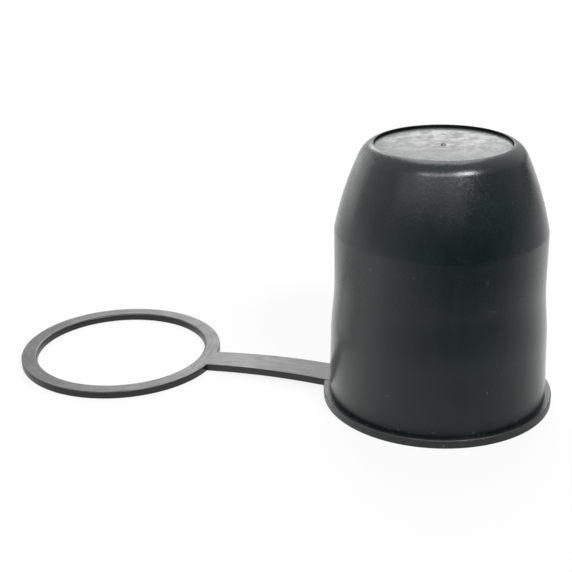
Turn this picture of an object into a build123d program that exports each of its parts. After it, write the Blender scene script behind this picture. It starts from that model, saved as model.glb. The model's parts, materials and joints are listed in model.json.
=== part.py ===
from build123d import *
from math import cos, radians, sin
import os

os.makedirs("parts", exist_ok=True)

# Tow ball cover, one moulding in soft black plastic: a cap that pushes over the ball,
# and a flat ring on a strap that keeps the cap from being lost.
# The cap's axis is Z, its mouth is in the plane z = 0, and the strap runs along -X.

# The ball, and the band of the cap that grips it
ball_diameter = 50.0
seat_gap = 0.2
wall = 1.95
band_foot = 33.5
shoulder_height = 47.3
shoulder_round = 8.0
shoulder_drop = 0.2

# The skirt, which flares from the band to the mouth
skirt_flare = 1.5
knee_height = 19.5
knee_flare = 1.0
mouth_land = 3.0
mouth_lead = 0.4

# The flange round the mouth
flange_lip = 1.6
flange_thickness = 2.3
flange_edge = 0.35

# The dome, and the shallow recess in its top with the mark of the moulding gate
cap_height = 69.65
recess_radius = 17.2
recess_depth = 0.9
recess_draft = 0.1
dome_bulge = 0.6
crown_round = 5.6
crown_lean = 24.5
lip_lean = 76.0
inner_crown_round = 2.0
gate_radius = 0.8
gate_tip_radius = 0.5
gate_height = 0.25

# The retaining ring
ring_reach = 93.15
ring_outer_diameter = 57.6
ring_inner_diameter = 48.7
ring_thickness = 2.1
ring_edge = 0.25

# The strap, flush with the flange at its root and bowed a little upwards on its way to the ring
strap_root_width = 10.1
strap_end_width = 8.7
strap_thickness = 2.0
strap_overlap = 2.4
strap_sink = 0.1
strap_bow = 0.8

seat_radius = ball_diameter / 2 + seat_gap
band_radius = seat_radius + wall
mouth_radius = band_radius + skirt_flare
flange_radius = mouth_radius + flange_lip
recess_floor = cap_height - recess_depth
crown_under = recess_floor - wall
gate_top = recess_floor + gate_height

# Corners of the dome: the shoulder, the start of the crown round, and the crest of the lip
crest = (recess_radius, cap_height)
crown = (
    recess_radius + crown_round * (cos(radians(crown_lean)) - cos(radians(lip_lean))),
    cap_height - crown_round * (sin(radians(lip_lean)) - sin(radians(crown_lean))),
)
half_lean = radians((crown_lean + lip_lean) / 2)
crown_mid = (
    crown[0] + crown_round * (cos(half_lean) - cos(radians(crown_lean))),
    crown[1] + crown_round * (sin(half_lean) - sin(radians(crown_lean))),
)
shoulder = (band_radius, shoulder_height)
chord = Vector(crown[0] - shoulder[0], crown[1] - shoulder[1])
outward = Vector(chord.Y, -chord.X).normalized()
dome_mid = (
    (shoulder[0] + crown[0]) / 2 + dome_bulge * outward.X,
    (shoulder[1] + crown[1]) / 2 + dome_bulge * outward.Y,
)

# The same corners on the inside, one wall thickness in
inner_shoulder = (seat_radius, shoulder_height - shoulder_drop)
inner_mid = (dome_mid[0] - wall * outward.X, dome_mid[1] - wall * outward.Y)
inner_side = (
    crown[0] - wall * cos(radians(crown_lean)),
    crown[1] - wall * sin(radians(crown_lean)),
)
rise = crown_under - inner_side[1]
inner_crown = (inner_side[0] - rise * sin(radians(crown_lean)) / cos(radians(crown_lean)), crown_under)

# Skirt corners on the outside and the inside
knee = (band_radius + knee_flare, knee_height)
inner_knee = (seat_radius + knee_flare, knee_height)
mouth_inner = seat_radius + skirt_flare
fall = Vector(skirt_flare - knee_flare, flange_thickness - knee_height)


def near(shape, point):
    return shape.vertices().sort_by_distance(point)[0]


# Cap, turned from its half section
with BuildSketch(Plane.XZ) as section:
    with BuildLine():
        Line((0, crown_under), inner_crown)
        ThreePointArc(inner_crown, inner_mid, inner_shoulder)
        Line(inner_shoulder, (seat_radius, band_foot))
        Spline((seat_radius, band_foot), inner_knee, tangents=[(0, -1), (fall.X, fall.Y)])
        Line(inner_knee, (mouth_inner, mouth_lead + mouth_land))
        Line((mouth_inner, mouth_lead + mouth_land), (mouth_inner, 0))
        Line((mouth_inner, 0), (flange_radius, 0))
        Line((flange_radius, 0), (flange_radius, flange_thickness))
        Line((flange_radius, flange_thickness), (mouth_radius, flange_thickness))
        Line((mouth_radius, flange_thickness), knee)
        Spline(knee, (band_radius, band_foot), tangents=[(-fall.X, -fall.Y), (0, 1)])
        Line((band_radius, band_foot), shoulder)
        ThreePointArc(shoulder, dome_mid, crown)
        ThreePointArc(crown, crown_mid, crest)
        Line(crest, (recess_radius - recess_draft, recess_floor))
        Line((recess_radius - recess_draft, recess_floor), (gate_radius, recess_floor))
        Line((gate_radius, recess_floor), (gate_tip_radius, gate_top))
        Line((gate_tip_radius, gate_top), (0, gate_top))
        Line((0, gate_top), (0, crown_under))
    make_face()
profile = section.sketch_local
for corner, radius in ((inner_crown, inner_crown_round), (shoulder, shoulder_round)):
    profile = fillet(near(profile, corner), radius)
for corner, length in (
    ((mouth_inner, 0), mouth_lead),
    ((flange_radius, 0), flange_edge),
    ((flange_radius, flange_thickness), flange_edge),
):
    profile = chamfer(near(profile, corner), length)
cap = revolve(Plane.XZ * profile, Axis.Z)

# Ring, turned from its cross-section
ring_middle = (ring_outer_diameter + ring_inner_diameter) / 4
ring_width = (ring_outer_diameter - ring_inner_diameter) / 2
ring_section = Pos(ring_middle, ring_thickness / 2) * Rectangle(ring_width, ring_thickness)
ring_section = chamfer(ring_section.vertices(), ring_edge)
ring = Pos(-ring_reach, 0, 0) * revolve(Plane.XZ * ring_section, Axis.Z)

# Strap: a bowed strip, cut to its tapered outline
root_x = -(mouth_radius - wall / 2)
end_x = -(ring_reach - ring_outer_diameter / 2 + strap_overlap)
root_top = flange_thickness
end_top = ring_thickness - strap_sink
middle_x = (root_x + end_x) / 2
middle_top = (root_top + end_top) / 2 + strap_bow
with BuildSketch(Plane.XZ) as strip:
    with BuildLine():
        ThreePointArc((root_x, root_top), (middle_x, middle_top), (end_x, end_top))
        Line((end_x, end_top), (end_x, end_top - strap_thickness))
        ThreePointArc(
            (end_x, end_top - strap_thickness),
            (middle_x, middle_top - strap_thickness),
            (root_x, root_top - strap_thickness),
        )
        Line((root_x, root_top - strap_thickness), (root_x, root_top))
    make_face()
outline = Polyline(
    (root_x, strap_root_width / 2),
    (end_x, strap_end_width / 2),
    (end_x, -strap_end_width / 2),
    (root_x, -strap_root_width / 2),
    close=True,
)
bowed = extrude(strip.sketch, amount=strap_root_width, both=True)
strap = bowed & extrude(make_face(outline), amount=middle_top + strap_thickness, both=True)

tow_ball_cover = cap + strap + ring
export_step(tow_ball_cover, "parts/tow_ball_cover.step")
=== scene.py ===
import json
from math import atan2, ceil, cos, pi, radians, sin, tan

import bmesh
import bpy
from mathutils import Matrix, Vector


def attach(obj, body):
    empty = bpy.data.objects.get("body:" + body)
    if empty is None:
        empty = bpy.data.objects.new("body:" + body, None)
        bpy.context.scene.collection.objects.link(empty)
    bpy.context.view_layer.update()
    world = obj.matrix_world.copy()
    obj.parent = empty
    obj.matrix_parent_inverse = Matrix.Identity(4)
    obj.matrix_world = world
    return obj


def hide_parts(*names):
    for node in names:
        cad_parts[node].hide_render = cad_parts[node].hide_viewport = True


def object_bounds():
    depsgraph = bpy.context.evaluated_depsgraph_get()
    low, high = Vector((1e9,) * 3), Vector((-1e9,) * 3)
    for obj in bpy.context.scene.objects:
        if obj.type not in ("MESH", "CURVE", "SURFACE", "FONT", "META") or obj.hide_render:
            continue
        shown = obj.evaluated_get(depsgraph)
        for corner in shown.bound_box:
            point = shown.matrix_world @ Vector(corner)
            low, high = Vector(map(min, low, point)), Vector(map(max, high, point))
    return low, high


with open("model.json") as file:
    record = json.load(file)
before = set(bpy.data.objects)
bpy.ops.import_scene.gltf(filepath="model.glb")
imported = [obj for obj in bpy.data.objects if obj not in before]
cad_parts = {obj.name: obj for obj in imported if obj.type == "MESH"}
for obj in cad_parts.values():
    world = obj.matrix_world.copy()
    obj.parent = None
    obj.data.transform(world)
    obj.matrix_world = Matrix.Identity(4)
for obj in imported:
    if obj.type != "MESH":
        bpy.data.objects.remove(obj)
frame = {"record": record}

cad_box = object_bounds()

# Camera: a short telephoto lens about a third of a metre from the cover, in front of it and a little
# to the right. It looks down, with the cap to the right of the picture and the ring to the left.
mm = 0.001
lens_length = 72.65
eye = Vector((50.27, -276.33, 144.09)) * mm
heading = radians(18.45)
look_down = radians(21.95)
camera_roll = radians(1.34)
nearest_view = 10 * mm

camera_data = bpy.data.cameras.new("camera")
camera_data.lens = lens_length
camera_data.clip_start = nearest_view
camera = bpy.data.objects.new("camera", camera_data)
camera.matrix_world = (
    Matrix.Translation(eye)
    @ Matrix.Rotation(heading, 4, "Z")
    @ Matrix.Rotation(pi / 2 - look_down, 4, "X")
    @ Matrix.Rotation(-camera_roll, 4, "Z")
)
bpy.context.scene.collection.objects.link(camera)
bpy.context.scene.camera = camera

# Cap: a thin-walled push-on cover moulded in satin black plastic, round all over, so it is turned
# here from one half section: gate mark, recess, lip, dome, grip band, flared skirt, flange, inside.
bores = {mount["name"]: mount for mount in frame["record"]["mounts"]}
seat_radius = bores["ball_seat"]["dims"]["r_mm"] * mm
mouth_inner = bores["mouth"]["dims"]["r_mm"] * mm
cap_height = cad_box[1].z
flange_radius = cad_box[1].x
wall = 1.95 * mm
band_radius = seat_radius + wall
mouth_radius = mouth_inner + wall
shoulder_height = 47.3 * mm
shoulder_round = 4 * mm
shoulder_drop = 0.2 * mm
band_foot = 33.5 * mm
knee_height = 19.5 * mm
knee_flare = 1.0 * mm
flange_thickness = 2.3 * mm
flange_round = 0.27 * mm
mouth_land_top = 3.4 * mm
mouth_lead = 0.4 * mm
recess_radius = 17.2 * mm
recess_depth = 0.9 * mm
recess_draft = 0.1 * mm
recess_round = 0.15 * mm
lip_round = 0.25 * mm
crown_round = 5.6 * mm
crown_lean = radians(24.5)
lip_lean = radians(76)
dome_bulge = 0.6 * mm
inner_crown_round = 2 * mm
gate_radius = 0.75 * mm
gate_foot_round = 0.1 * mm
gate_rim_radius = 0.5 * mm
gate_rim_round = 0.08 * mm
gate_height = 0.45 * mm
dish_radius = 0.25 * mm
dish_edge_height = 0.045 * mm
dish_middle_height = 0.0225 * mm
crown_steps = 14
dome_steps = 16
skirt_steps = 12
steps_round = 288
seam_gap = 0.001 * mm
sharp_angle = radians(40)


def arc(start, bulge, end, steps):
    """Corners of a bowed line between two points, the first left out; bulge is to its right."""
    chord = Vector(end) - Vector(start)
    half = 2 * atan2(bulge, chord.length / 2)
    radius = chord.length / 2 / sin(half)
    right = Vector((chord.y, -chord.x)).normalized()
    centre = (Vector(start) + Vector(end)) / 2 + right * (bulge - radius)
    first = Vector(start) - centre
    return [
        (*(centre + Matrix.Rotation(2 * half * step / steps, 2) @ first), 0)
        for step in range(1, steps + 1)
    ]


def bend(start, start_way, end, end_way, steps):
    """Corners of a smooth line between two points that leaves and arrives along given ways."""
    start, end = Vector(start), Vector(end)
    reach = (end - start).length
    leave, arrive = Vector(start_way).normalized() * reach, Vector(end_way).normalized() * reach
    corners = []
    for step in range(1, steps + 1):
        t = step / steps
        point = start * (2 * t**3 - 3 * t**2 + 1) + leave * (t**3 - 2 * t**2 + t)
        point += end * (3 * t**2 - 2 * t**3) + arrive * (t**3 - t**2)
        corners.append((*point, 0))
    return corners


def rounded(corners, step_angle=radians(12), fewest_steps=3):
    """Points along a line of corners (across, up, round), with each corner rounded off."""
    points = []
    for place, (across, up, size) in enumerate(corners):
        corner = Vector((across, up))
        if not size:
            points.append(corner)
            continue
        back = (Vector(corners[place - 1][:2]) - corner).normalized()
        ahead = (Vector(corners[(place + 1) % len(corners)][:2]) - corner).normalized()
        half = back.angle(ahead) / 2
        middle = corner + (back + ahead).normalized() * size / sin(half)
        first = corner + back * size / tan(half) - middle
        turn = pi - 2 * half
        if back.cross(ahead) > 0:
            turn = -turn
        steps = max(fewest_steps, ceil(abs(turn) / step_angle))
        for step in range(steps + 1):
            points.append(middle + Matrix.Rotation(turn * step / steps, 2) @ first)
    return points


crown = (
    recess_radius + crown_round * (cos(crown_lean) - cos(lip_lean)),
    cap_height - crown_round * (sin(lip_lean) - sin(crown_lean)),
)
crown_bulge = crown_round * (1 - cos((lip_lean - crown_lean) / 2))
recess_floor = cap_height - recess_depth
crown_under = recess_floor - wall
inner_side = (crown[0] - wall * cos(crown_lean), crown[1] - wall * sin(crown_lean))
inner_crown = (inner_side[0] - (crown_under - inner_side[1]) * tan(crown_lean), crown_under)
inner_shoulder = (seat_radius, shoulder_height - shoulder_drop)
knee = (band_radius + knee_flare, knee_height)
inner_knee = (seat_radius + knee_flare, knee_height)
skirt_fall = (mouth_radius - knee[0], flange_thickness - knee_height)
skirt_climb = (-skirt_fall[0], -skirt_fall[1])

cap_section = rounded(
    [
        (0, recess_floor + dish_middle_height, 0),
        (dish_radius, recess_floor + dish_edge_height, gate_rim_round),
        (gate_rim_radius, recess_floor + gate_height, gate_rim_round),
        (gate_radius, recess_floor, gate_foot_round),
        (recess_radius - recess_draft, recess_floor, recess_round),
        (recess_radius, cap_height, lip_round),
    ]
    + arc((recess_radius, cap_height), -crown_bulge, crown, crown_steps)
    + arc(crown, -dome_bulge, (band_radius, shoulder_height), dome_steps)[:-1]
    + [(band_radius, shoulder_height, shoulder_round), (band_radius, band_foot, 0)]
    + bend((band_radius, band_foot), (0, -1), knee, skirt_fall, skirt_steps)
    + [
        (mouth_radius, flange_thickness, 0),
        (flange_radius, flange_thickness, flange_round),
        (flange_radius, 0, flange_round),
        (mouth_inner, 0, mouth_lead),
        (mouth_inner, mouth_land_top, 0),
        (*inner_knee, 0),
    ]
    + bend(inner_knee, skirt_climb, (seat_radius, band_foot), (0, 1), skirt_steps)
    + [(*inner_shoulder, shoulder_round)]
    + arc(inner_shoulder, dome_bulge, inner_crown, dome_steps)[:-1]
    + [(*inner_crown, inner_crown_round), (0, crown_under, 0)]
)


class Flow:
    """What comes out of a node; sums, products and comparisons of flows add Math nodes to their tree."""

    def __init__(self, tree, socket=None):
        self.tree = tree
        self.socket = socket

    def node(self, kind, settings=None, sockets=None, out=0):
        """Adds a node of a kind, with its settings and what its sockets hold or are linked to."""
        node = self.tree.nodes.new(kind)
        for name, value in (settings or {}).items():
            setattr(node, name, value)
        for name, value in (sockets or {}).items():
            if isinstance(value, Flow):
                self.tree.links.new(value.socket, node.inputs[name])
            else:
                node.inputs[name].default_value = value
        return Flow(self.tree, node.outputs[out]) if node.outputs else None

    def math(self, operation, *values):
        """Adds a Math node that works on the values."""
        return self.node("ShaderNodeMath", {"operation": operation}, dict(enumerate(values)))

    def __add__(self, other):
        return self.math("ADD", self, other)

    def __radd__(self, other):
        return self + other

    def __sub__(self, other):
        return self.math("SUBTRACT", self, other)

    def __rsub__(self, other):
        return self.math("SUBTRACT", other, self)

    def __mul__(self, other):
        return self.math("MULTIPLY", self, other)

    def __rmul__(self, other):
        return self * other

    def __truediv__(self, other):
        return self.math("DIVIDE", self, other)

    def __rtruediv__(self, other):
        return self.math("DIVIDE", other, self)

    def __mod__(self, other):
        return self.math("MODULO", self, other)

    def __rmod__(self, other):
        return self.math("MODULO", other, self)

    def __lt__(self, other):
        return self.math("LESS_THAN", self, other)

    def __gt__(self, other):
        return self.math("GREATER_THAN", self, other)


def group_inputs(tree, names):
    """Adds a tree's named inputs and its one geometry output, and gives the inputs as flows."""
    for name, kind in names.items():
        tree.interface.new_socket(name, in_out="INPUT", socket_type=kind)
    tree.interface.new_socket("Shape", in_out="OUTPUT", socket_type="NodeSocketGeometry")
    entry = tree.nodes.new("NodeGroupInput")
    return {name: Flow(tree, entry.outputs[name]) for name in names}


def part_of(vector, axis):
    """One of the three numbers of a vector."""
    return vector.node("ShaderNodeSeparateXYZ", sockets={"Vector": vector}, out=axis)


def shape_out(shape, finish):
    """Ends a tree: the shape as real faces, with its finish on."""
    shape = shape.node("GeometryNodeRealizeInstances", sockets={"Geometry": shape})
    shape = shape.node("GeometryNodeSetMaterial", sockets={"Geometry": shape, "Material": finish})
    shape.node("NodeGroupOutput", sockets={"Shape": shape})


turning = bpy.data.node_groups.new("turned_section", "GeometryNodeTree")
given = group_inputs(
    turning,
    {
        "Section": "NodeSocketGeometry",
        "Steps round": "NodeSocketInt",
        "Axis place": "NodeSocketVector",
        "Finish": "NodeSocketMaterial",
    },
)
lathe = Flow(turning)
section_count = lathe.node(
    "GeometryNodeAttributeDomainSize", {"component": "MESH"}, {"Geometry": given["Section"]}
)
sheet = lathe.node(
    "GeometryNodeMeshGrid",
    sockets={"Vertices X": given["Steps round"] + 1, "Vertices Y": section_count},
)
number = lathe.node("GeometryNodeInputIndex")
along = number % section_count
angle = (number - along) / section_count * (2 * pi) / given["Steps round"]
section_point = lathe.node(
    "GeometryNodeSampleIndex",
    {"data_type": "FLOAT_VECTOR"},
    {"Geometry": given["Section"], "Value": lathe.node("GeometryNodeInputPosition"), "Index": along},
)
section_radius = part_of(section_point, "X")
turned_point = lathe.node(
    "ShaderNodeCombineXYZ",
    sockets={
        "X": section_radius * lathe.math("COSINE", angle),
        "Y": section_radius * lathe.math("SINE", angle),
        "Z": part_of(section_point, "Z"),
    },
)
placed = lathe.node(
    "ShaderNodeVectorMath", {"operation": "ADD"}, {0: turned_point, 1: given["Axis place"]}
)
turned = lathe.node("GeometryNodeSetPosition", sockets={"Geometry": sheet, "Position": placed})
turned = lathe.node("GeometryNodeMergeByDistance", sockets={"Geometry": turned, "Distance": seam_gap})
turned = lathe.node("GeometryNodeSetShadeSmooth", sockets={0: turned})
sharp_turn = lathe.node("GeometryNodeInputMeshEdgeAngle", out="Unsigned Angle") > sharp_angle
turned = lathe.node(
    "GeometryNodeSetShadeSmooth",
    {"domain": "EDGE"},
    {0: turned, "Selection": sharp_turn, "Shade Smooth": False},
)
shape_out(turned, given["Finish"])


def made_by(name, tree, points, values):
    """A piece made by a node tree from a line of points (across, up), as a plain closed mesh."""
    line = bpy.data.meshes.new(name)
    line.from_pydata(
        [(point[0], 0, point[1]) for point in points],
        [(place, place + 1) for place in range(len(points) - 1)],
        [],
    )
    piece = bpy.data.objects.new(name, line)
    bpy.context.scene.collection.objects.link(piece)
    modifier = piece.modifiers.new(tree.name, "NODES")
    modifier.node_group = tree
    for socket in tree.interface.items_tree:
        if socket.in_out == "INPUT" and socket.name in values:
            modifier[socket.identifier] = values[socket.name]
    evaluated = piece.evaluated_get(bpy.context.evaluated_depsgraph_get())
    mesh = bpy.data.meshes.new_from_object(evaluated)
    piece.modifiers.clear()
    piece.data = mesh
    shell = bmesh.new()
    shell.from_mesh(mesh)
    bmesh.ops.recalc_face_normals(shell, faces=shell.faces)
    shell.to_mesh(mesh)
    shell.free()
    mesh.name = name
    flats = piece.modifiers.new("flat faces stay flat", "WEIGHTED_NORMAL")
    flats.weight = 100
    flats.keep_sharp = True
    return piece


def new_finish(name):
    """An empty material, and the start of its node tree."""
    finish = bpy.data.materials.new(name)
    finish.use_nodes = True
    finish.node_tree.nodes.clear()
    return finish, Flow(finish.node_tree)


def length_of(vector):
    """How long a vector is."""
    return vector.node("ShaderNodeVectorMath", {"operation": "LENGTH"}, {0: vector}, out="Value")


def round_axis(place):
    """A place's distance from an upright axis, its direction from there, and both as one level way."""
    level = place.node("ShaderNodeVectorMath", {"operation": "MULTIPLY"}, {0: place, 1: (1, 1, 0)})
    outward = place.node("ShaderNodeVectorMath", {"operation": "NORMALIZE"}, {0: level})
    return length_of(level), outward, level


def turning_pattern(outward, steps, other):
    """A place for a pattern that changes by so many steps round an axis, and along another way."""
    return outward.node(
        "ShaderNodeVectorMath",
        {"operation": "MULTIPLY_ADD"},
        {0: outward, 1: (steps, steps, steps), 2: other},
    )


def mottle(place, size, detail=2.0, roughness=0.5):
    """A cloudy pattern from 0 to 1 with patches of about the given size."""
    return place.node(
        "ShaderNodeTexNoise",
        {"noise_dimensions": "3D"},
        {"Vector": place, "Scale": 1 / size, "Detail": detail, "Roughness": roughness},
    )


def rise(value, low, high):
    """A smooth step: 0 below low, 1 above high."""
    return value.node(
        "ShaderNodeMapRange",
        {"interpolation_type": "SMOOTHSTEP"},
        {"Value": value, "From Min": low, "From Max": high, "To Min": 0.0, "To Max": 1.0},
    )


def sprinkled(place, spacing, left_out, spot_edge):
    """Small round spots about a spacing apart, with a share of them left out."""
    cells = {"Vector": place, "Scale": 1 / spacing}
    off_spot = place.node("ShaderNodeTexVoronoi", {"feature": "F1"}, cells, out="Distance")
    lot = place.node("ShaderNodeTexVoronoi", {"feature": "F1"}, cells, out="Color")
    chosen = place.node("ShaderNodeSeparateColor", sockets={"Color": lot}, out="Red") > left_out
    return (1 - rise(off_spot, *spot_edge)) * chosen


def off_circle(from_axis, height, circle_radius, circle_height):
    """How far a place is from a level circle round the axis."""
    across = from_axis - circle_radius
    up = height - circle_height
    return across.math("SQRT", across * across + up * up)


def laid_over(share, under, colour, under_socket=6, over_socket=7, mixed_socket=2):
    """A share of a colour over what is there, which is a colour too or the flow of one."""
    if not isinstance(under, Flow):
        under = (*under, 1)
    return share.node(
        "ShaderNodeMix",
        {"data_type": "RGBA"},
        {"Factor": share, under_socket: under, over_socket: (*colour, 1)},
        out=mixed_socket,
    )


plastic_ior = 1.53
# The matt black used for painted shade
painted_shade_black = (0.003, 0.004, 0.004, 1)


def moulded(surface, colour, roughness, relief, relief_depth, relief_strength, layers=None):
    """Black plastic with a fine relief; layers are further sockets of its shader."""
    relief_normal = surface.node(
        "ShaderNodeBump",
        sockets={"Strength": relief_strength, "Distance": relief_depth, "Height": relief},
    )
    return surface.node(
        "ShaderNodeBsdfPrincipled",
        sockets={
            "Base Color": colour,
            "Roughness": roughness,
            "IOR": plastic_ior,
            "Normal": relief_normal,
            **(layers or {}),
        },
    )


def with_painted_shade(surface, painted_shade, plastic):
    """Ends a finish: painted shade, a matt black, over the plastic."""
    matt = surface.node("ShaderNodeBsdfDiffuse", sockets={"Color": painted_shade_black})
    finished = surface.node("ShaderNodeMixShader", sockets={0: painted_shade, 1: plastic, 2: matt})
    surface.node("ShaderNodeOutputMaterial", sockets={"Surface": finished})


# All over the cap: faint clouds, marks along the draw of the mould and a fine grain
deep_black = (0.0010, 0.0058, 0.0056)
worn_black = (0.0032, 0.0094, 0.0091)
grain_size = 0.75 * mm
cloud_size = 11 * mm
draw_mark_width = 3.5 * mm
draw_squeeze = 0.12
cloud_wear = 0.5
draw_wear = 0.35
grain_wear = 0.15
wear_edge = (0.36, 0.64)

cap_finish, surface = new_finish("satin_black_cap")
place = surface.node("ShaderNodeTexCoord", out="Object")
from_axis, outward, level = round_axis(place)
height = part_of(place, "Z")
grain = mottle(place, grain_size, roughness=0.6)
clouds = mottle(place, cloud_size, detail=3.0)
drawn = surface.node("ShaderNodeMapping", sockets={"Vector": place, "Scale": (1, 1, draw_squeeze)})
draw_marks = mottle(drawn, draw_mark_width)
wear = clouds * cloud_wear + draw_marks * draw_wear + grain * grain_wear
colour = laid_over(rise(wear, *wear_edge), deep_black, worn_black)

# Gloss: duller on the skirt, where the cap is handled, and coarser towards the crown
cap_roughness = 0.25
mottle_middle = 0.5
handled_top = (20 * mm, 42 * mm)
handled_roughness = 0.12
cloud_roughness = 0.06
draw_roughness = 0.04
grain_roughness = 0.10
crown_grain_roughness = 0.22
crown_grain_rise = (50 * mm, 66 * mm)

handled = 1 - rise(height, *handled_top)
roughness = cap_roughness + handled * handled_roughness
roughness = roughness + (clouds - mottle_middle) * cloud_roughness
roughness = roughness + (draw_marks - mottle_middle) * draw_roughness
coarseness = grain_roughness + crown_grain_roughness * rise(height, *crown_grain_rise)
roughness = roughness + (grain - mottle_middle) * coarseness

# Stray pale specks
scuff_grey = (0.060, 0.062, 0.060)
speck_spacing = 5 * mm
specks_left_out = 0.8
speck_edge = (0.02, 0.06)
speck_strength = 0.5

specks = sprinkled(place, speck_spacing, specks_left_out, speck_edge)
colour = laid_over(specks * speck_strength, colour, scuff_grey)

# Scuffs on the front: the middle and half sizes of each in millimetres, and its strength
scuff_edge = (0.45, 1.0)
scuffs = {
    "scratch over the mouth": ((-7.00, -27.50, 11.7), (1.05, 0.6, 0.17), 0.55),
    "nick over the mouth": ((16.74, -22.82, 13.5), (0.40, 0.6, 0.45), 0.85),
    "rub under the shoulder": ((-12.46, -24.11, 43.3), (0.45, 0.6, 0.55), 0.45),
    "dull spot on the band": ((15.43, -22.31, 42.1), (0.75, 0.6, 0.75), 0.2),
    "short rub on the band": ((17.22, -20.98, 34.3), (0.80, 0.6, 0.30), 0.25),
    "faint rub on the band": ((-1.06, -27.09, 43.5), (0.60, 0.6, 0.40), 0.20),
    "nick in the flange": ((7.63, -29.24, 0.85), (0.42, 0.6, 0.40), 1.0),
}
for middle, half_sizes, strength in scuffs.values():
    on_scuff = surface.node(
        "ShaderNodeMapping",
        {"vector_type": "TEXTURE"},
        {
            "Vector": place,
            "Location": Vector(middle) * mm,
            "Rotation": (0, 0, atan2(middle[1], middle[0]) + pi / 2),
            "Scale": Vector(half_sizes) * mm,
        },
    )
    scuffed = 1 - rise(length_of(on_scuff), *scuff_edge)
    colour = laid_over(scuffed * strength, colour, scuff_grey)

# The recess: a dull bloom, thickest at the back, and chalky splashes round the gate mark
dull_grey = (0.14, 0.14, 0.141)
chalk_grey = (0.42, 0.42, 0.42)
recess_margin = 0.2 * mm
floor_margin = 0.3 * mm
flow_ray_steps = 4
blotch_size = 2.6 * mm
blotch_bloom = 0.88
ray_bloom = 0.12
bloom_edge = (0.37, 0.65)
bloom_at_front = 0.2
bloom_to_back = (-14 * mm, 14 * mm)
least_dullness = 0.3
rim_thinning = 0.4
rim_thinning_rise = (5 * mm, recess_radius)
spatter_size = 1.5 * mm
spatter_edge = (0.42, 0.68)
splash_reach = (0.8 * mm, 6.5 * mm)
splash_strength = 0.75
recess_roughness = 0.04
clear_roughness = 0.20
gate_roughness = 0.06
gate_reach = (1.5 * mm, 6.5 * mm)

on_recess = (from_axis < recess_radius - recess_margin) * (height > recess_floor - floor_margin)
flow_rays = mottle(turning_pattern(outward, flow_ray_steps, level), size=1.0)
blotches = mottle(place, blotch_size, detail=4.0, roughness=0.62)
bloom = rise(blotches * blotch_bloom + flow_rays * ray_bloom, *bloom_edge)
bloom = bloom * (bloom_at_front + (1 - bloom_at_front) * rise(part_of(place, "Y"), *bloom_to_back))
thinned = 1 - rim_thinning * rise(from_axis, *rim_thinning_rise)
dulled = on_recess * (least_dullness + (1 - least_dullness) * bloom) * thinned
colour = laid_over(dulled, colour, dull_grey)
spatter = rise(mottle(place, spatter_size, detail=3.0, roughness=0.6), *spatter_edge)
splash = (1 - rise(from_axis, *splash_reach)) * spatter
colour = laid_over(on_recess * splash * splash_strength, colour, chalk_grey)
near_gate = 1 - rise(from_axis, *gate_reach)
added_roughness = recess_roughness + (1 - bloom) * clear_roughness + near_gate * gate_roughness
roughness = roughness + on_recess * added_roughness

# Dust caught in the corner over the flange
dust_spacing = 1.2 * mm
dust_left_out = 0.6
dust_edge = (0.1, 0.32)
dust_reach = (1.0 * mm, 2.2 * mm)
dust_strength = 0.8

off_corner = off_circle(from_axis, height, mouth_radius, flange_thickness)
dust = sprinkled(place, dust_spacing, dust_left_out, dust_edge) * (1 - rise(off_corner, *dust_reach))
colour = laid_over(dust * dust_strength, colour, scuff_grey)

# The flange, rubbed pale in patches, and paler along its upper edge, which is wear and a painted
# highlight
rub_and_highlight_grey = (0.062, 0.061, 0.058)
flange_foot = 0.9 * mm
flange_margin = 0.1 * mm
least_rub = 0.02
patchy_rub = 0.4
edge_rub_and_highlight = 0.16
edge_rub_and_highlight_reach = (0.15 * mm, 0.6 * mm)

off_rim = off_circle(from_axis, height, flange_radius, flange_thickness)
on_flange = (from_axis > mouth_radius + flange_foot) * (height < flange_thickness + flange_margin)
rubbed_and_highlit = on_flange * (least_rub + patchy_rub * blotches)
rubbed_and_highlit = rubbed_and_highlit + (1 - rise(off_rim, *edge_rub_and_highlight_reach)) * edge_rub_and_highlight
colour = laid_over(rubbed_and_highlit, colour, rub_and_highlight_grey)

# Relief, and two thin layers that show most along the outline: a film on the skirt and a faint sheen
cap_relief_depth = 0.025 * mm
cap_relief_strength = 1.0
blotch_relief = 1.5
film_foot = (flange_thickness, 7 * mm)
film_weight = 0.95
film_roughness = 0.2
film_ior = 1.15
sheen_weight = 0.14
sheen_roughness = 0.3

cap_plastic = moulded(
    surface,
    colour,
    roughness,
    grain + on_recess * blotches * blotch_relief,
    cap_relief_depth,
    cap_relief_strength,
    {
        "Coat Weight": handled * rise(height, *film_foot) * film_weight,
        "Coat Roughness": film_roughness,
        "Coat IOR": film_ior,
        "Sheen Weight": sheen_weight,
        "Sheen Roughness": sheen_roughness,
    },
)

# Painted shade, a matt black, in the corner over the flange, along the lip and on the wall of the recess
corner_shade_width = 5 * mm
least_corner_shade = 0.12
patchy_corner_shade = 0.25
lip_shade = 0.5
lip_shade_reach = (0.15 * mm, 0.8 * mm)
wall_shade = 0.6
wall_inner = recess_radius - 0.25 * mm
wall_outer = recess_radius - 0.02 * mm

nearness = 1 - surface.node("ShaderNodeClamp", sockets={"Value": off_corner / corner_shade_width})
painted_shade = nearness * nearness * nearness * (least_corner_shade + blotches * patchy_corner_shade)
off_lip = off_circle(from_axis, height, recess_radius, cap_height)
painted_shade = painted_shade + (1 - rise(off_lip, *lip_shade_reach)) * lip_shade
on_wall = (from_axis > wall_inner) * (from_axis < wall_outer) * (height > recess_floor - floor_margin)
painted_shade = painted_shade + on_wall * wall_shade
with_painted_shade(surface, painted_shade, cap_plastic)

cap = made_by(
    "cap",
    turning,
    cap_section,
    {"Steps round": steps_round, "Axis place": (0, 0, 0), "Finish": cap_finish},
)
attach(cap, "root")
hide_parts("tow_ball_cover")
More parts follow.
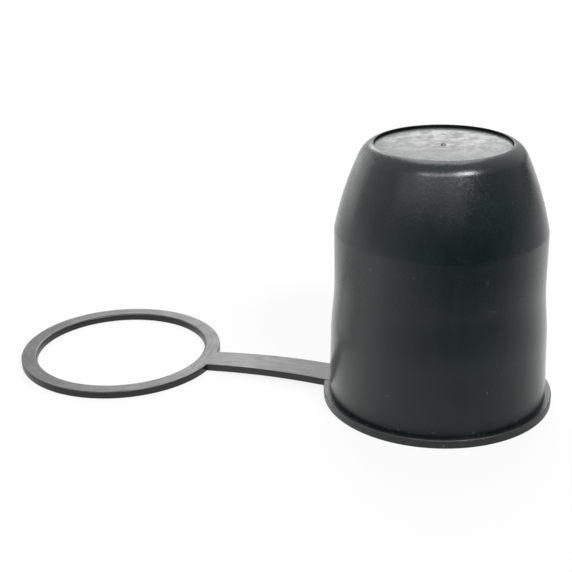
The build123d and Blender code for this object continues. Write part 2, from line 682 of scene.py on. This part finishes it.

# Retaining ring: a flat band of the same moulding that is stretched over the ball onto its neck. It
# lies flat beside the cap. Its top shows flow lines all round in a grey bloom that lies only on faces
# that look up, which paints the top lighter, and painted highlights run along both edges. Painted shade
# darkens its sides, and the upper edge of its bore is rounder than the rest.
ring_bore = bores["retaining_ring"]
ring_centre = ring_bore["pos_m"][0]
ring_inner = ring_bore["dims"]["r_mm"] * mm
ring_outer = ring_centre - cad_box[0].x
ring_middle = (ring_inner + ring_outer) / 2
half_band = (ring_outer - ring_inner) / 2
ring_thickness = 2.1 * mm
ring_edge = 0.35 * mm
ring_bore_edge = 0.65 * mm
ring_black = (0.0040, 0.0038, 0.0037)
ring_worn = (0.0085, 0.0082, 0.0080)
ring_bloom_and_top_light_grey = (0.073, 0.073, 0.073)
flow_line_steps = 5
flow_line_width = 0.7 * mm
ring_cloud_size = 5 * mm
fine_grain_size = 0.42 * mm
flow_line_bloom = 0.35
ring_cloud_bloom = 0.25
grain_bloom = 0.4
edge_highlight = 0.05
edge_highlight_rise = (0.55 * half_band, 0.95 * half_band)
ring_bloom_edge = (0.42, 0.60)
ring_bloom_strength = 0.6
side_roughness = 0.27
top_roughness = 0.13
bloom_gloss = 0.07
fine_relief = 1.5
fine_relief_depth = 0.02 * mm
fine_relief_strength = 0.5
least_side_shade = 0.05
patchy_side_shade = 0.35


def face_up(surface, tilt=(0.3, 0.8)):
    """1 on faces that look upwards, 0 on upright and lower ones."""
    facing = surface.node("ShaderNodeTexCoord", out="Normal")
    return rise(part_of(facing, "Z"), *tilt)


ring_finish, surface = new_finish("flow_marked_ring")
place = surface.node("ShaderNodeTexCoord", out="Object")
on_ring = surface.node("ShaderNodeMapping", sockets={"Vector": place, "Location": (-ring_centre, 0, 0)})
from_axis, outward = round_axis(on_ring)[:2]
across_band = surface.node("ShaderNodeCombineXYZ", sockets={"Z": from_axis / flow_line_width})
flow_lines = mottle(turning_pattern(outward, flow_line_steps, across_band), size=1.0, detail=3.0)
clouds = mottle(place, ring_cloud_size, detail=3.0)
grain = mottle(place, fine_grain_size, roughness=0.6)
on_top = face_up(surface)
off_middle = surface.math("ABSOLUTE", from_axis - ring_middle)
# Painted highlights: the top is paler along both edges
painted_edge_highlight = rise(off_middle, *edge_highlight_rise)
bloom = flow_lines * flow_line_bloom + clouds * ring_cloud_bloom + grain * grain_bloom
bloom = bloom + painted_edge_highlight * edge_highlight
# Painted light: the grey bloom lies only on faces that look up, so the top is lighter than the sides
bloom = rise(bloom, *ring_bloom_edge) * on_top
colour = laid_over(clouds, ring_black, ring_worn)
colour = laid_over(bloom * ring_bloom_strength, colour, ring_bloom_and_top_light_grey)
ring_plastic = moulded(
    surface,
    colour,
    side_roughness + on_top * (top_roughness - bloom * bloom_gloss),
    (grain + flow_lines) * fine_relief,
    fine_relief_depth,
    fine_relief_strength,
)
# Painted shade: a matt black over the ring's sides
painted_side_shade = (1 - on_top) * (least_side_shade + patchy_side_shade * clouds)
with_painted_shade(surface, painted_side_shade, ring_plastic)

ring_section = rounded(
    [
        (ring_inner, 0, ring_edge),
        (ring_outer, 0, ring_edge),
        (ring_outer, ring_thickness, ring_edge),
        (ring_inner, ring_thickness, ring_bore_edge),
    ]
)
ring = made_by(
    "ring",
    turning,
    ring_section + ring_section[:1],
    {"Steps round": steps_round, "Axis place": (ring_centre, 0, 0), "Finish": ring_finish},
)
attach(ring, "root")
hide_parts("tow_ball_cover")

# Strap: a thin tapered tongue of the same plastic that ties the ring to the flange, moulded in one
# with both. It leaves the flange flush with its top, bows up a little and runs out in the ring.
strap_root_width = 10.1 * mm
strap_end_width = 8.7 * mm
strap_thickness = 2.0 * mm
strap_edge = 0.25 * mm
strap_bow = 0.8 * mm
strap_overlap = 2.4 * mm
strap_sink = 0.1 * mm
strap_steps = 40
edge_steps = 6
strap_root = (-(mouth_radius - wall / 2), flange_thickness)
strap_end = (ring_centre + ring_outer - strap_overlap, ring_thickness - strap_sink)
strap_bloom_and_top_light_grey = (0.088, 0.090, 0.089)
stretch_mark_width = 0.75 * mm
stretch_squeeze = 0.09
strap_cloud_size = 4 * mm
stretch_bloom = 0.6
strap_cloud_bloom = 0.3
painted_light_to_ring_end = 0.3
strap_bloom_edge = (0.48, 0.78)
strap_bloom_strength = 0.7
bloomed_roughness = 0.33
bare_roughness = 0.07

strap_finish, surface = new_finish("stretch_marked_strap")
place = surface.node("ShaderNodeTexCoord", out="Object")
drawn = surface.node("ShaderNodeMapping", sockets={"Vector": place, "Scale": (stretch_squeeze, 1, 1)})
stretch_marks = mottle(drawn, stretch_mark_width, detail=3.0)
clouds = mottle(place, strap_cloud_size, detail=3.0)
grain = mottle(place, fine_grain_size, roughness=0.6)
near_ring = rise(part_of(place, "X"), strap_root[0], strap_end[0])
# Painted light: the grey bloom grows towards the ring end and lies only on faces that look up
bloom = stretch_marks * stretch_bloom + clouds * strap_cloud_bloom + near_ring * painted_light_to_ring_end
bloom = rise(bloom, *strap_bloom_edge) * face_up(surface)
colour = laid_over(clouds, ring_black, ring_worn)
colour = laid_over(bloom * strap_bloom_strength, colour, strap_bloom_and_top_light_grey)
strap_plastic = moulded(
    surface,
    colour,
    bloomed_roughness + (1 - bloom) * bare_roughness,
    (grain + stretch_marks) * fine_relief,
    fine_relief_depth,
    fine_relief_strength,
)
surface.node("ShaderNodeOutputMaterial", sockets={"Surface": strap_plastic})

sweeping = bpy.data.node_groups.new("bowed_strap", "GeometryNodeTree")
given = group_inputs(
    sweeping,
    {
        "Middle line": "NodeSocketGeometry",
        "Root width": "NodeSocketFloat",
        "End width": "NodeSocketFloat",
        "Thickness": "NodeSocketFloat",
        "Edge round": "NodeSocketFloat",
        "Root place": "NodeSocketFloat",
        "End place": "NodeSocketFloat",
        "Finish": "NodeSocketMaterial",
    },
)
press = Flow(sweeping)
middle_line = press.node("GeometryNodeMeshToCurve", sockets={"Mesh": given["Middle line"]})
middle_line = press.node("GeometryNodeSetCurveNormal", {"mode": "Z_UP"}, {"Curve": middle_line})
flat_section = press.node(
    "GeometryNodeCurvePrimitiveQuadrilateral",
    sockets={"Width": given["Root width"], "Height": given["Thickness"]},
)
flat_section = press.node(
    "GeometryNodeFilletCurve",
    {"mode": "POLY"},
    {"Curve": flat_section, "Count": edge_steps, "Radius": given["Edge round"]},
)
tongue = press.node(
    "GeometryNodeCurveToMesh",
    sockets={"Curve": middle_line, "Profile Curve": flat_section, "Fill Caps": True},
)
spot = press.node("GeometryNodeInputPosition")
lengthways = part_of(spot, "X")
taper = press.node(
    "ShaderNodeMapRange",
    sockets={
        "Value": lengthways,
        "From Min": given["Root place"],
        "From Max": given["End place"],
        "To Min": 1.0,
        "To Max": given["End width"] / given["Root width"],
    },
)
tapered = press.node(
    "ShaderNodeCombineXYZ",
    sockets={"X": lengthways, "Y": part_of(spot, "Y") * taper, "Z": part_of(spot, "Z")},
)
tongue = press.node("GeometryNodeSetPosition", sockets={"Geometry": tongue, "Position": tapered})
tongue = press.node("GeometryNodeSetShadeSmooth", sockets={0: tongue})
shape_out(tongue, given["Finish"])

strap_middle = [
    (point[0], point[1] - strap_thickness / 2)
    for point in [strap_root] + arc(strap_root, strap_bow, strap_end, strap_steps)
]
strap = made_by(
    "strap",
    sweeping,
    strap_middle,
    {
        "Root width": strap_root_width,
        "End width": strap_end_width,
        "Thickness": strap_thickness,
        "Edge round": strap_edge,
        "Root place": strap_root[0],
        "End place": strap_end[0],
        "Finish": strap_finish,
    },
)
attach(strap, "root")
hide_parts("tow_ball_cover")

# Floor: a plain white table that keeps the cover's soft shadow and goes over into pure white far off.
# The gloss of the cover sees it white behind and on the left, and dimmer towards the front right and
# in one far corner behind right.
floor_half = 3.0
floor_drop = 0.05 * mm
floor_colour = (0.9, 0.9, 0.9, 1)
pure_white = (1, 1, 1, 1)
floor_whiteness = 0.85
pure_white_rise = (250 * mm, 900 * mm)
white_way = (-0.6, 0.8, 0)
dimmest = 0.06
dimming_near = 0.52
dimming_further = 0.40
further_rise = (70 * mm, 170 * mm)
dimming_far = 0.06
far_rise = (200 * mm, 500 * mm)
dim_corner_way = (0.77, 0.64, 0)
dim_corner_edge = (0.87, 0.95)
dim_corner_rise = (150 * mm, 400 * mm)
dim_corner_strength = 0.4


def light_rays(space):
    """What looks at a place: the camera, a glossy surface, or a see-through one."""
    kinds = ("Is Camera Ray", "Is Glossy Ray", "Is Transmission Ray")
    return [space.node("ShaderNodeLightPath", out=kind) for kind in kinds]


def towards(way, other):
    """How far a way goes along another one."""
    return way.node("ShaderNodeVectorMath", {"operation": "DOT_PRODUCT"}, {0: way, 1: other}, out="Value")


floor_mesh = bpy.data.meshes.new("floor")
floor_mesh.from_pydata(
    [(x * floor_half, y * floor_half, -floor_drop) for x, y in ((-1, -1), (1, -1), (1, 1), (-1, 1))],
    [],
    [(0, 1, 2, 3)],
)
floor = bpy.data.objects.new("floor", floor_mesh)
bpy.context.scene.collection.objects.link(floor)
floor_white, surface = new_finish("floor_white")
seen, mirrored, through = light_rays(surface)
place = surface.node("ShaderNodeTexCoord", out="Object")
way = surface.node("ShaderNodeVectorMath", {"operation": "NORMALIZE"}, {0: place})
from_cap = length_of(place)
dimming = dimming_near + dimming_further * rise(from_cap, *further_rise)
dimming = dimming + dimming_far * rise(from_cap, *far_rise)
shade = surface.node(
    "ShaderNodeClamp",
    sockets={"Value": 1.0 + towards(way, white_way) * dimming, "Min": dimmest, "Max": 1.0},
)
dim_corner = rise(towards(way, dim_corner_way), *dim_corner_edge) * rise(from_cap, *dim_corner_rise)
shade = shade * (1 - dim_corner_strength * dim_corner)
whiteness = mirrored * shade + (1 - mirrored)
shadowless = floor_whiteness + (1 - floor_whiteness) * rise(from_cap, *pure_white_rise)
table = surface.node(
    "ShaderNodeMixShader",
    sockets={
        0: (seen + through) * shadowless + mirrored,
        1: surface.node("ShaderNodeBsdfDiffuse", sockets={"Color": floor_colour}),
        2: surface.node("ShaderNodeEmission", sockets={"Color": pure_white, "Strength": whiteness}),
    },
)
surface.node("ShaderNodeOutputMaterial", sockets={"Surface": table})
floor_mesh.materials.append(floor_white)

# Light: soft panels low, left and high behind the cover, one at its left, and a wide panel, a strip
# and two small lamps in front. The room is white to the camera. In the gloss it is brightest overhead
# and behind on the left, dim towards the front right and low in one corner behind right.
low_aim = (0, 0, 0.03)
high_aim = (0, 0, 0.04)
watts_per_white = 4

# Each lamp's place, aim, width, length and brightness, where 1 is a white surface
lamps = {
    "back_low": ((-0.0965, 1.002, 0.49), low_aim, 0.38, 0.44, 2.8),
    "back_left": ((-0.437, 0.860, 0.587), low_aim, 0.29, 0.46, 3.4),
    "back_high": ((-0.114, 0.587, 0.95), low_aim, 0.60, 0.82, 2.3),
    "left_panel": ((-0.62, 0.36, 0.20), low_aim, 0.5, 0.4, 0.55),
    "front_panel": ((-0.062, -0.753, 0.53), high_aim, 1.4, 0.36, 0.5),
    "front_strip": ((0.163, -0.568, 0.651), high_aim, 0.55, 0.16, 4.8),
    "left_lamp": ((-0.17, -0.58, 0.61), high_aim, 0.16, 0.16, 6),
    "right_lamp": ((0.43, -0.37, 0.64), high_aim, 0.26, 0.16, 21),
}
for name, (lamp_place, aim, width, length, brightness) in lamps.items():
    lamp_data = bpy.data.lights.new(name, "AREA")
    lamp_data.shape = "RECTANGLE"
    lamp_data.size = width
    lamp_data.size_y = length
    lamp_data.energy = brightness * watts_per_white * width * length
    lamp = bpy.data.objects.new(name, lamp_data)
    turn = (Vector(aim) - Vector(lamp_place)).to_track_quat("-Z", "Y").to_matrix().to_4x4()
    lamp.matrix_world = Matrix.Translation(lamp_place) @ turn
    bpy.context.scene.collection.objects.link(lamp)

fill_light = 0.15
room_middle = 0.44
room_bright_way = (-0.268, 0.3145, 0.6)
room_dimmest = 0.06
room_brightest = 0.85
room_corner_way = (0.47, 0.88, 0.05)
room_corner_edge = (0.85, 1.0)
room_corner_top = (0.04, 0.20)
room_corner_strength = 0.5

room = bpy.data.worlds.new("white_room")
room.use_nodes = True
room.node_tree.nodes.clear()
air = Flow(room.node_tree)
seen, mirrored, through = light_rays(air)
way = air.node("ShaderNodeTexCoord", out="Generated")
other_rays = 1 - seen - through - mirrored
gloss_light = air.node(
    "ShaderNodeClamp",
    sockets={
        "Value": towards(way, room_bright_way) + room_middle,
        "Min": room_dimmest,
        "Max": room_brightest,
    },
)
room_corner = rise(towards(way, room_corner_way), *room_corner_edge)
room_corner = room_corner * (1 - rise(part_of(way, "Z"), *room_corner_top))
gloss_light = gloss_light - room_corner_strength * room_corner
room_light = seen + through + mirrored * gloss_light + other_rays * fill_light
backdrop = air.node("ShaderNodeBackground", sockets={"Color": pure_white, "Strength": room_light})
air.node("ShaderNodeOutputWorld", sockets={"Surface": backdrop})
bpy.context.scene.world = room
bpy.context.scene.view_settings.view_transform = "Standard"
